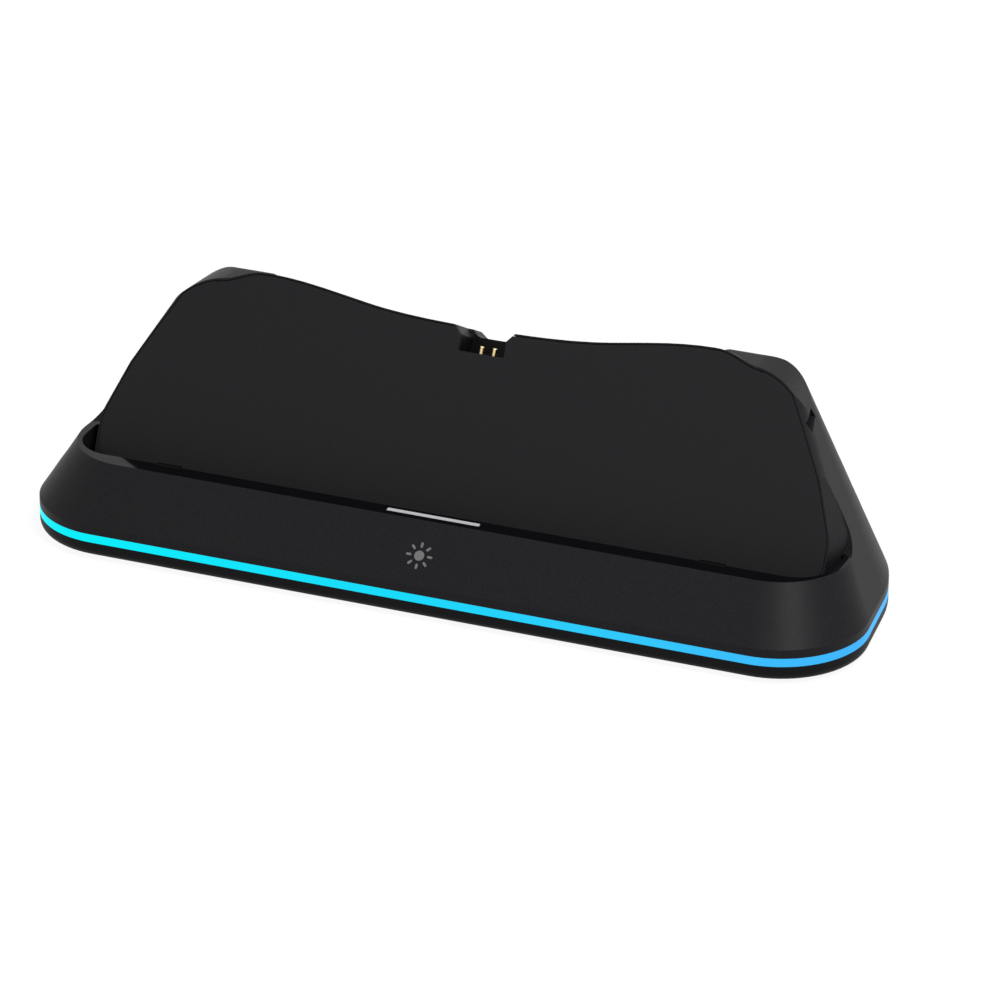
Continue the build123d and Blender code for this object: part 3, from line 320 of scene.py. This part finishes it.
def add_coil(side):
    """The spring under a contact pin, which in the real thing shortens as the pin is pressed: a copy of it
    with a mesh of its own, hung on the base, takes the place of the imported part.
    """
    node = nodes[f"pin_spring_{side}"]
    coil = bpy.data.objects.new(f"coil_{side}", node.data.copy())
    bpy.context.collection.objects.link(coil)
    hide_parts(f"pin_spring_{side}")
    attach(coil, "base")
    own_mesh(coil)


def lit_ring(name):
    """Milky light guide, lit from cyan on the left to blue on the right."""
    material, tree, shader, place = new_material(name)
    run = spread(tree, parts_of(tree, place.outputs["Object"])["X"], 0.0, 1.0, -RING_HALF, RING_HALF)
    ramp = tree.nodes.new("ShaderNodeValToRGB")
    ramp.color_ramp.elements[0].color = RING_LEFT
    ramp.color_ramp.elements[1].color = RING_RIGHT
    ramp.color_ramp.elements.new(0.5).color = RING_MIDDLE
    tree.links.new(run, ramp.inputs["Fac"])
    tree.links.new(ramp.outputs["Color"], shader.inputs["Emission Color"])
    shader.inputs["Emission Strength"].default_value = RING_STRENGTH
    shader.inputs["Base Color"].default_value = RING_BODY
    shader.inputs["Specular IOR Level"].default_value = RING_SPECULAR
    cloud = grain(tree, place, RING_CELLS)
    tree.links.new(spread(tree, cloud, *RING_ROUGH), shader.inputs["Roughness"])
    add_bump(tree, shader, cloud, RING_BUMP, RING_DEPTH)
    return material


def glow(name, color, strength):
    """Pale diffuser, lit from behind."""
    material, tree, shader, place = new_material(name)
    cloud = grain(tree, place, GLOW_CELLS)
    body = tint(tree, cloud, [c * BODY_DIP for c in color], color)
    light = tint(tree, cloud, [c * GLOW_DIP for c in color], color)
    tree.links.new(body, shader.inputs["Base Color"])
    tree.links.new(light, shader.inputs["Emission Color"])
    shader.inputs["Emission Strength"].default_value = strength
    shader.inputs["Specular IOR Level"].default_value = PLASTIC_SPECULAR
    tree.links.new(spread(tree, cloud, *GLOW_ROUGH), shader.inputs["Roughness"])
    return material


def dress(material, *names):
    for name in names:
        for slot in nodes[name].material_slots:
            slot.material = material


def shown(tree):
    """One for the rays that show the background: from the camera, off a gloss and through glass."""
    path = tree.nodes.new("ShaderNodeLightPath")
    rays = path.outputs["Is Camera Ray"]
    for kind in ("Is Glossy Ray", "Is Transmission Ray"):
        rays = pair(tree, "MAXIMUM", rays, path.outputs[kind])
    return rays


def mix_shaders(tree, share, plain, white, surface):
    """Puts a mix of two shaders on a surface, with the white one by a share."""
    mix = tree.nodes.new("ShaderNodeMixShader")
    tree.links.new(share, mix.inputs[0])
    tree.links.new(plain.outputs[0], mix.inputs[1])
    tree.links.new(white.outputs[0], mix.inputs[2])
    tree.links.new(mix.outputs[0], surface)


def add_floor():
    """Wide pale floor, which shows as a white background with the object's shadow."""
    mesh = bpy.data.meshes.new("floor")
    half = FLOOR_HALF
    corners = [(-half, -half, 0), (half, -half, 0), (half, half, 0), (-half, half, 0)]
    mesh.from_pydata(corners, [], [(0, 1, 2, 3)])
    floor = bpy.data.objects.new("floor", mesh)
    bpy.context.collection.objects.link(floor)
    material = bpy.data.materials.new("pale_floor")
    material.use_nodes = True
    tree = material.node_tree
    shader = tree.nodes["Principled BSDF"]
    shader.inputs["Base Color"].default_value = FLOOR_COLOR
    shader.inputs["Roughness"].default_value = FLOOR_ROUGH
    shader.inputs["Specular IOR Level"].default_value = FLOOR_SPECULAR
    white = tree.nodes.new("ShaderNodeEmission")
    white.inputs["Color"].default_value = WHITE
    white.inputs["Strength"].default_value = FLOOR_WHITE
    share = tree.nodes.new("ShaderNodeMath")
    share.operation = "MULTIPLY"
    share.inputs[1].default_value = FLOOR_WHITE_SHARE
    tree.links.new(shown(tree), share.inputs[0])
    mix_shaders(tree, share.outputs[0], shader, white, tree.nodes["Material Output"].inputs["Surface"])
    mesh.materials.append(material)


def add_world():
    """Soft even light, with a white background."""
    world = bpy.data.worlds.new("studio")
    bpy.context.scene.world = world
    world.use_nodes = True
    tree = world.node_tree
    soft = tree.nodes["Background"]
    soft.inputs["Color"].default_value = WHITE
    soft.inputs["Strength"].default_value = WORLD_LIGHT
    white = tree.nodes.new("ShaderNodeBackground")
    white.inputs["Color"].default_value = WHITE
    white.inputs["Strength"].default_value = WORLD_WHITE
    mix_shaders(tree, shown(tree), soft, white, tree.nodes["World Output"].inputs["Surface"])


add_camera()
add_floor()
add_world()
for lamp in LAMPS:
    add_lamp(*lamp)
bpy.context.scene.view_settings.view_transform = "Standard"

# Shells and panel
housing = moulded(
    "housing_plastic", dark=(0.0096, 0.0096, 0.0112), light=(0.0168, 0.0168, 0.0184), rough=(0.40, 0.50),
    bump=0.4, specular=0.09, edge=0.0004,
)
# The housing's land, tabs and notch carry painted shade.
dress(paint_notch_shade(polish_and_shade_land(housing)), "upper_housing")
panel = moulded(
    "panel_plastic", dark=(0.0125, 0.0125, 0.0140), light=(0.0186, 0.0186, 0.0202), rough=(0.68, 0.80),
    cells=3000.0, bump=0.5, edge=0.0003,
)
dress(panel, "front_panel")
cover = moulded(
    "cover_plastic", dark=(0.0036, 0.0036, 0.0046), light=(0.0058, 0.0058, 0.0068), rough=(0.45, 0.55),
    specular=0.09, edge=0.0004,
)
dress(cover, "bottom_cover")

# Small plastic and rubber pieces
block = moulded("block_plastic", dark=(0.006, 0.006, 0.006), light=(0.010, 0.010, 0.010), rough=(0.40, 0.5))
dress(block, "contact_block", "usb_tongue")
chip = moulded("chip_plastic", dark=(0.012, 0.012, 0.012), light=(0.02, 0.02, 0.02), rough=(0.4, 0.5))
dress(chip, "board_chips")
rubber = moulded("foot_rubber", dark=(0.010, 0.010, 0.010), light=(0.018, 0.018, 0.018), rough=(0.75, 0.85))
dress(rubber, "foot_front_left", "foot_front_right", "foot_back_left", "foot_back_right")

# Metals
steel = moulded(
    "screw_steel", dark=(0.45, 0.45, 0.46), light=(0.58, 0.58, 0.59), rough=(0.28, 0.4), metallic=1.0,
)
dress(steel, "case_screws", "board_screws", "usb_shell", "pin_spring_left", "pin_spring_right")
gold = moulded(
    "pin_gold", dark=(0.78, 0.60, 0.30), light=(0.84, 0.66, 0.36), rough=(0.22, 0.30), metallic=1.0,
)
dress(gold, "contact_pin_left", "contact_pin_right", "pin_barrel_left", "pin_barrel_right")
copper = moulded(
    "pad_copper", dark=(0.55, 0.26, 0.14), light=(0.65, 0.32, 0.18), rough=(0.25, 0.4), metallic=1.0,
)
dress(copper, "touch_pad")

# Boards, leads and the packages on the boards
lacquer = moulded("board_lacquer", dark=(0.015, 0.10, 0.045), light=(0.02, 0.13, 0.06), rough=(0.3, 0.4))
dress(lacquer, "main_board", "led_board", "contact_board")
grey = moulded("grey_insulation", dark=(0.15, 0.15, 0.15), light=(0.2, 0.2, 0.2), rough=(0.45, 0.55))
dress(grey, "led_lead")
red = moulded("red_insulation", dark=(0.30, 0.012, 0.012), light=(0.36, 0.018, 0.018), rough=(0.45, 0.55))
dress(red, "lead_positive")
black = moulded("black_insulation", dark=(0.01, 0.01, 0.01), light=(0.015, 0.015, 0.015), rough=(0.45, 0.55))
dress(black, "lead_negative")
package = moulded("led_package", dark=(0.65, 0.62, 0.5), light=(0.75, 0.72, 0.6), rough=(0.3, 0.4))
dress(package, "ring_leds", "status_led")

# Print and lights
sun = moulded("grey_print", dark=(0.185, 0.185, 0.189), light=(0.23, 0.23, 0.234), rough=(0.6, 0.7))
dress(sun, "touch_icon")
dress(glow("status_glow", color=(0.34, 0.34, 0.35), strength=0.80), "status_light")
dress(lit_ring("ring_glow"), "light_ring")

for side in ("left", "right"):
    add_coil(side)
